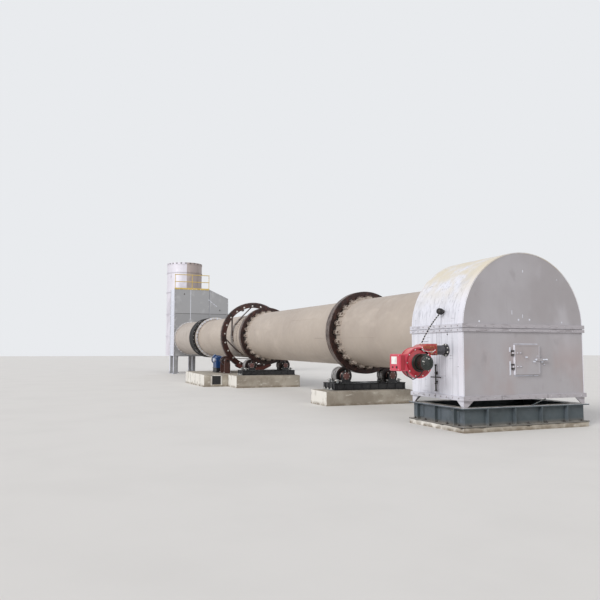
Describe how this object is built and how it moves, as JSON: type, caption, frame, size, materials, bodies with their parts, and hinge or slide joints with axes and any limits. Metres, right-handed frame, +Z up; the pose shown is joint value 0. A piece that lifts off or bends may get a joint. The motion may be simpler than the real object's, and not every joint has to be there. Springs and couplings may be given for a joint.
{
  "type": "rotary kiln",
  "caption": "Inclined rotary kiln on tyres and rollers with a girth gear drive, an arched discharge hood with a side burner, and a boxed feed chamber with a stack behind it.",
  "frame": {"origin": "on the underside of the discharge pier, on the ground straight below the centre of the discharge tyre", "axes": "+X towards the discharge hood, +Z up; the kiln axis falls towards +X by 0.6 degrees"},
  "size_m": [36.2673, 5.24, 7.75],
  "materials": {
    "shell_paint": "satin warm grey paint",
    "brick": "fire brick, rough",
    "tyre_steel": "dark oiled casting, polished tread",
    "pad_steel": "oily plate",
    "gear_steel": "greasy dark brown casting",
    "pinion_steel": "greasy steel",
    "roller_steel": "dark casting, polished tread",
    "bearing_metal": "worn grey paint",
    "frame_black": "oily black paint",
    "concrete": "bare concrete",
    "drive_blue": "blue enamel",
    "guard_red": "red-brown primer",
    "hood_silver": "aluminium paint, scuffed",
    "hood_front": "mottled aluminium paint",
    "hood_flange": "aluminium paint",
    "hood_dark": "heat stained steel",
    "base_grey": "blue-grey paint",
    "burner_red": "crimson enamel",
    "burner_dark": "dark enamel",
    "control_red": "light red cover",
    "fitting_steel": "worn bare steel",
    "seal_black": "graphite black",
    "collar_paint": "beige paint",
    "chamber_grey": "grey paint",
    "leg_paint": "pale paint",
    "stack_paint": "pale sheet cladding",
    "rail_yellow": "yellow paint"
  },
  "bodies": {
    "plant": {"roller_bearings_discharge": "bearing_metal", "roller_bearings_feed": "bearing_metal", "roller_frame_discharge": "frame_black", "roller_frame_feed": "frame_black", "pier_discharge": "concrete", "pier_feed": "concrete", "pinion_bearings": "bearing_metal", "reducer": "drive_blue", "drive_motor": "drive_blue", "drive_pier": "concrete", "gear_guard": "guard_red", "hood_arch": "hood_silver", "hood_sides": "hood_silver", "hood_front_wall": "hood_front", "hood_back_wall": "hood_silver", "hood_seam_band": "hood_flange", "hood_foot_flange": "hood_flange", "hood_legs": "hood_flange", "hood_seal": "hood_dark", "hood_base_frame": "base_grey", "hood_plinth": "concrete", "door_hinges": "hood_dark", "burner_tube": "burner_dark", "burner_housing": "burner_red", "burner_motor": "burner_dark", "burner_control_box": "control_red", "thermocouple": "fitting_steel", "conduit": "burner_dark", "drop_bolt": "fitting_steel", "feed_seal": "seal_black", "feed_collar": "collar_paint", "feed_front_wall": "chamber_grey", "feed_back_wall": "chamber_grey", "feed_side_walls": "chamber_grey", "feed_roof": "chamber_grey", "feed_legs": "leg_paint", "feed_stack": "stack_paint", "stack_floor": "stack_paint", "stack_neck": "stack_paint", "roof_rail": "rail_yellow"},
    "kiln": {"shell_discharge": "shell_paint", "shell_middle": "shell_paint", "shell_feed": "shell_paint", "lining_discharge": "brick", "lining_middle": "brick", "lining_feed": "brick", "tyre_discharge": "tyre_steel", "tyre_feed": "tyre_steel", "tyre_pads": "pad_steel", "girth_gear": "gear_steel", "gear_springs": "pad_steel", "shell_band": "pad_steel", "feed_end_flange": "shell_paint"},
    "pinion": {"pinion": "pinion_steel"},
    "hood_door": {"hood_door": "hood_front"},
    "roller_discharge_left": {"roller_discharge_left": "roller_steel"},
    "roller_discharge_right": {"roller_discharge_right": "roller_steel"},
    "roller_feed_left": {"roller_feed_left": "roller_steel"},
    "roller_feed_right": {"roller_feed_right": "roller_steel"}
  },
  "joints": [
    {"name": "kiln_turn", "type": "hinge", "parent": "plant", "child": "kiln", "pos_m": [0, 0, 2.1], "axis": [0.9999, 0, -0.0105], "continuous": true},
    {"name": "discharge_left_roller_turn", "type": "hinge", "parent": "plant", "child": "roller_discharge_left", "pos_m": [-0.01344, -0.77117, 0.81663], "axis": [0.9999, 0, -0.0105], "continuous": true},
    {"name": "discharge_right_roller_turn", "type": "hinge", "parent": "plant", "child": "roller_discharge_right", "pos_m": [-0.01344, 0.77117, 0.81663], "axis": [0.9999, 0, -0.0105], "continuous": true},
    {"name": "feed_left_roller_turn", "type": "hinge", "parent": "plant", "child": "roller_feed_left", "pos_m": [-9.21294, -0.77117, 0.91297], "axis": [0.9999, 0, -0.0105], "continuous": true},
    {"name": "feed_right_roller_turn", "type": "hinge", "parent": "plant", "child": "roller_feed_right", "pos_m": [-9.21294, 0.77117, 0.91297], "axis": [0.9999, 0, -0.0105], "continuous": true},
    {"name": "pinion_turn", "type": "hinge", "parent": "plant", "child": "pinion", "pos_m": [-11.13114, -1.33721, 1.09446], "axis": [0.9999, 0, -0.0105], "continuous": true},
    {"name": "door_swing", "type": "hinge", "parent": "plant", "child": "hood_door", "pos_m": [6.9443, -0.329, 1.378], "axis": [0, 0, -1], "range_deg": [0, 110]}
  ],
  "couplings": [
    {"joint": "discharge_left_roller_turn", "follows": "kiln_turn", "ratio": -4.7577},
    {"joint": "discharge_right_roller_turn", "follows": "kiln_turn", "ratio": -4.7577},
    {"joint": "feed_left_roller_turn", "follows": "kiln_turn", "ratio": -4.7577},
    {"joint": "feed_right_roller_turn", "follows": "kiln_turn", "ratio": -4.7577},
    {"joint": "pinion_turn", "follows": "kiln_turn", "ratio": -7.9}
  ]
}
